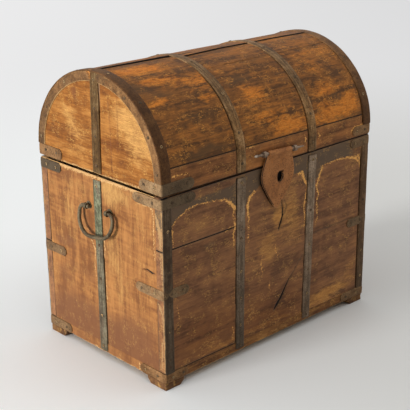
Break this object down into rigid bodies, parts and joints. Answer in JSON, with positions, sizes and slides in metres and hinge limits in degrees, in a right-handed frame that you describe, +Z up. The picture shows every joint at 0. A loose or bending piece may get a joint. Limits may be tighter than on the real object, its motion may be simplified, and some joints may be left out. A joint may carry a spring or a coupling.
{
  "type": "dome top trunk",
  "caption": "Plank trunk with a hinged dome lid of curved staves, flat iron straps, corner braces, bail handles and a front hasp.",
  "frame": {"origin": "on the floor, under the middle of the trunk's outer box", "axes": "+X along the front to the right, +Y from the front to the back, +Z up"},
  "size_m": [0.5984, 0.3807, 0.5662],
  "materials": {
    "dome_wood": "worn, streaky dark brown oil finish",
    "rail_wood": "worn dark brown oil finish",
    "end_wood": "honey brown, satin",
    "front_wood": "worn brown, satin, chipped",
    "back_wood": "worn brown, satin",
    "base_wood": "dark worn edge",
    "strap_iron": "aged grey brown patina",
    "green_iron": "aged iron with a green bloom",
    "rusty_iron": "reddish brown rust",
    "handle_iron": "dark forged iron",
    "nail_iron": "dark nail heads",
    "bright_iron": "dull worn steel"
  },
  "bodies": {
    "trunk": {"back_board_lower": "back_wood", "back_board_upper": "back_wood", "bottom_board": "base_wood", "bottom_braces": "strap_iron", "corner_strap_back_left": "strap_iron", "corner_strap_back_right": "strap_iron", "corner_strap_front_left": "strap_iron", "corner_strap_front_right": "strap_iron", "end_strap_left": "green_iron", "end_strap_right": "green_iron", "foot_back_left": "base_wood", "foot_back_right": "base_wood", "foot_front_left": "base_wood", "foot_front_right": "base_wood", "front_board_lower": "front_wood", "front_board_middle": "front_wood", "front_board_upper": "front_wood", "front_strap_left": "strap_iron", "front_strap_right": "strap_iron", "handle_eyes_left": "handle_iron", "handle_eyes_right": "handle_iron", "hinge_pin_left": "bright_iron", "hinge_pin_right": "bright_iron", "hinge_strap_left": "strap_iron", "hinge_strap_right": "strap_iron", "left_end_board_back": "end_wood", "left_end_board_front": "end_wood", "lock_case": "bright_iron", "middle_braces": "strap_iron", "right_end_board_back": "end_wood", "right_end_board_front": "end_wood", "top_braces": "strap_iron", "trunk_nails": "nail_iron"},
    "lid": {"arch_band_left": "strap_iron", "arch_band_right": "strap_iron", "dome_band_left": "strap_iron", "dome_band_right": "strap_iron", "hasp_eyes": "rusty_iron", "hasp_pin": "rusty_iron", "lid_braces": "strap_iron", "lid_end_left": "end_wood", "lid_end_right": "end_wood", "lid_end_strap_left": "strap_iron", "lid_end_strap_right": "strap_iron", "lid_nails": "nail_iron", "lid_rail_back": "rail_wood", "lid_rail_front": "rail_wood", "lid_strap_left": "strap_iron", "lid_strap_right": "strap_iron", "stave_crown_back": "dome_wood", "stave_crown_front": "dome_wood", "stave_shoulder_back": "dome_wood", "stave_shoulder_front": "dome_wood", "strike_plate": "bright_iron"},
    "hasp": {"hasp_plate": "rusty_iron", "keyhole_rim": "rusty_iron"},
    "bolt": {"lock_bolt": "bright_iron"},
    "handle_left_bail": {"handle_left": "handle_iron"},
    "handle_right_bail": {"handle_right": "handle_iron"}
  },
  "joints": [
    {"name": "lid_hinge", "type": "hinge", "parent": "trunk", "child": "lid", "pos_m": [0, 0.1835, 0.374], "axis": [-1, 0, 0], "range_deg": [0, 110]},
    {"name": "hasp_hinge", "type": "hinge", "parent": "lid", "child": "hasp", "pos_m": [0.007, -0.183, 0.3955], "axis": [-0.9982, 0, 0.0593], "range_deg": [0, 150]},
    {"name": "handle_left_swing", "type": "hinge", "parent": "trunk", "child": "handle_left_bail", "pos_m": [-0.287, -0.0015, 0.309], "axis": [0, 1, 0], "range_deg": [0, 160]},
    {"name": "handle_right_swing", "type": "hinge", "parent": "trunk", "child": "handle_right_bail", "pos_m": [0.287, -0.0015, 0.309], "axis": [0, -1, 0], "range_deg": [0, 160]},
    {"name": "bolt_slide", "type": "slide", "parent": "trunk", "child": "bolt", "axis": [0, 0, 1], "range_m": [0, 0.008]}
  ]
}
